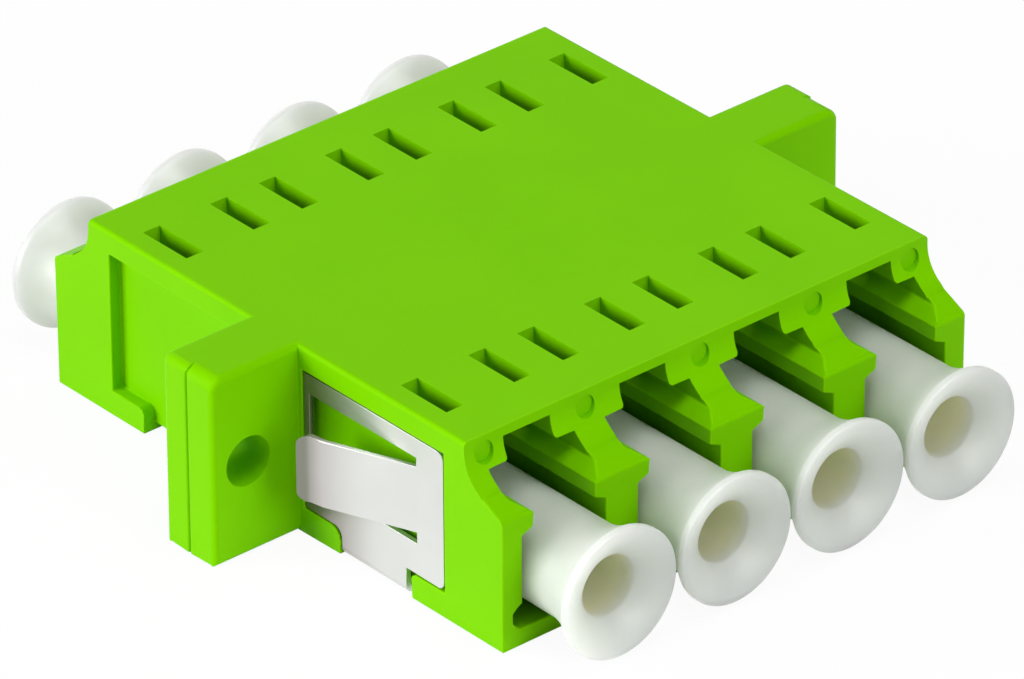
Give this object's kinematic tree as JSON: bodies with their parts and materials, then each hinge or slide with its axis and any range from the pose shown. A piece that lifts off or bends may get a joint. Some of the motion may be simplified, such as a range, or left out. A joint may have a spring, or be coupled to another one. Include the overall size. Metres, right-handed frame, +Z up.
{
  "type": "quad lc fibre adapter",
  "caption": "Moulded fibre adapter with a row of latch ports on each side of a screw flange, a sprung sheet-metal panel clip and soft push-in dust caps.",
  "frame": {"origin": "below the middle of the flange, on the plane that the housing stands on", "axes": "+X across the ports, +Y along the fibres away from the clip, +Z up towards the latch side"},
  "size_m": [0.0344, 0.0358, 0.0089],
  "materials": {
    "green_plastic": "satin moulded",
    "spring_steel": "bright rolled",
    "white_polyethylene": "satin",
    "zirconia": "polished"
  },
  "bodies": {
    "housing": {"housing_front": "green_plastic", "housing_rear": "green_plastic", "panel_clip": "spring_steel", "split_sleeve_1": "zirconia", "split_sleeve_2": "zirconia", "split_sleeve_3": "zirconia", "split_sleeve_4": "zirconia"},
    "front_cap_1": {"dust_cap_front_1": "white_polyethylene"},
    "front_cap_2": {"dust_cap_front_2": "white_polyethylene"},
    "front_cap_3": {"dust_cap_front_3": "white_polyethylene"},
    "front_cap_4": {"dust_cap_front_4": "white_polyethylene"},
    "rear_cap_1": {"dust_cap_rear_1": "white_polyethylene"},
    "rear_cap_2": {"dust_cap_rear_2": "white_polyethylene"},
    "rear_cap_3": {"dust_cap_rear_3": "white_polyethylene"},
    "rear_cap_4": {"dust_cap_rear_4": "white_polyethylene"}
  },
  "joints": [
    {"name": "front_cap_1_pull", "type": "slide", "parent": "housing", "child": "front_cap_1", "axis": [0, -1, 0], "range_m": [0, 0.012]},
    {"name": "front_cap_2_pull", "type": "slide", "parent": "housing", "child": "front_cap_2", "axis": [0, -1, 0], "range_m": [0, 0.012]},
    {"name": "front_cap_3_pull", "type": "slide", "parent": "housing", "child": "front_cap_3", "axis": [0, -1, 0], "range_m": [0, 0.012]},
    {"name": "front_cap_4_pull", "type": "slide", "parent": "housing", "child": "front_cap_4", "axis": [0, -1, 0], "range_m": [0, 0.012]},
    {"name": "rear_cap_1_pull", "type": "slide", "parent": "housing", "child": "rear_cap_1", "axis": [0, 1, 0], "range_m": [0, 0.012]},
    {"name": "rear_cap_2_pull", "type": "slide", "parent": "housing", "child": "rear_cap_2", "axis": [0, 1, 0], "range_m": [0, 0.012]},
    {"name": "rear_cap_3_pull", "type": "slide", "parent": "housing", "child": "rear_cap_3", "axis": [0, 1, 0], "range_m": [0, 0.012]},
    {"name": "rear_cap_4_pull", "type": "slide", "parent": "housing", "child": "rear_cap_4", "axis": [0, 1, 0], "range_m": [0, 0.012]}
  ]
}
